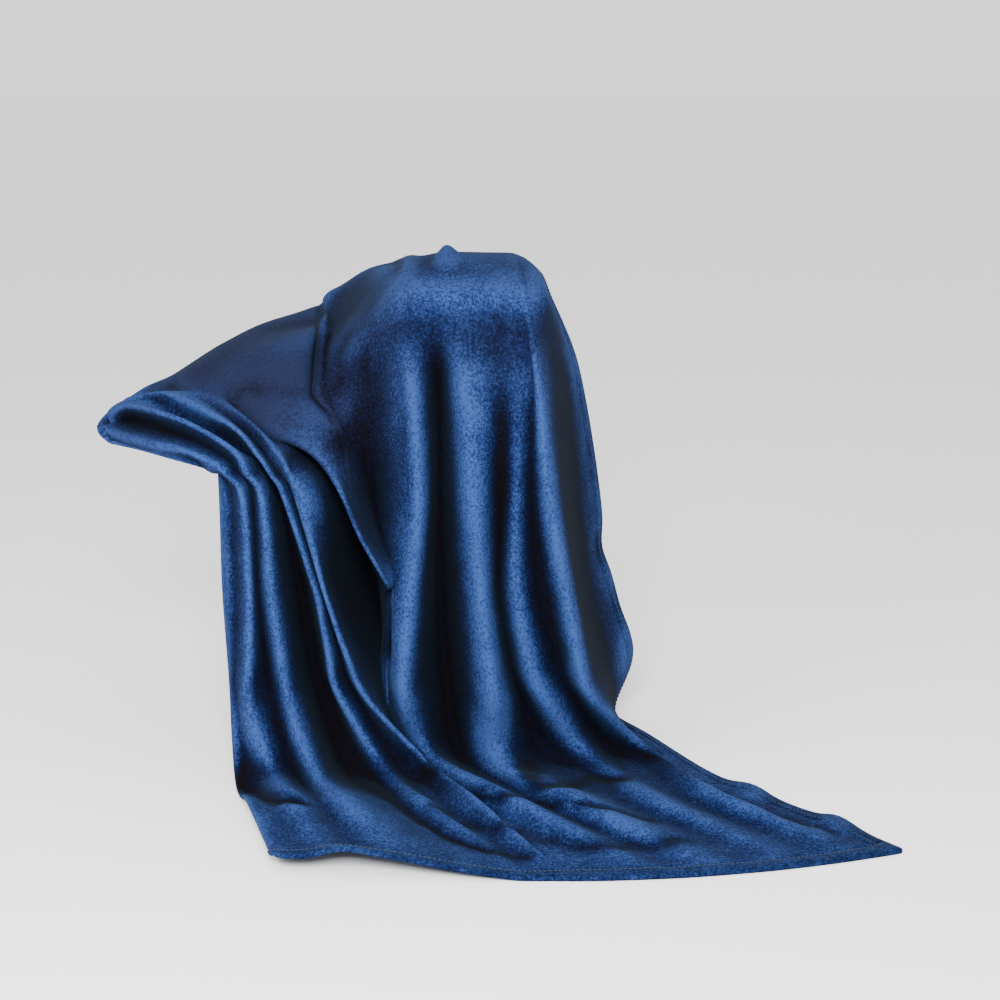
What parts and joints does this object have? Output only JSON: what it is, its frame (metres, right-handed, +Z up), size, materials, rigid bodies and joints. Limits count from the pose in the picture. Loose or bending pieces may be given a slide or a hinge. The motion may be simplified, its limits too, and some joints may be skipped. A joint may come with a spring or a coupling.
{
  "type": "throw blanket",
  "caption": "Plush throw blanket draped over a chair arm and seat edge, hanging in deep folds and pooling on the floor.",
  "frame": {"origin": "on the floor, under the middle of the drape's bounding box", "axes": "+Z up; -Y towards the viewer, the way the foot hem pools forward; +X to the viewer's right, towards the corner that points out over the floor"},
  "size_m": [0.981, 0.8642, 0.6433],
  "materials": {
    "plush": "soft short pile with a directional sheen",
    "hem_plush": "pile turned over at the hem, a little darker and fluffier",
    "stitch_thread": "twisted polyester sewing thread",
    "label_satin": "smooth woven satin, blank"
  },
  "bodies": {
    "root": {"fleece_panel": "plush", "foot_hem": "hem_plush", "head_hem": "hem_plush", "side_hem_right": "hem_plush", "side_hem_left": "hem_plush", "foot_hem_stitching": "stitch_thread", "head_hem_stitching": "stitch_thread", "side_hem_right_stitching": "stitch_thread", "side_hem_left_stitching": "stitch_thread", "care_label": "label_satin"}
  },
  "joints": []
}
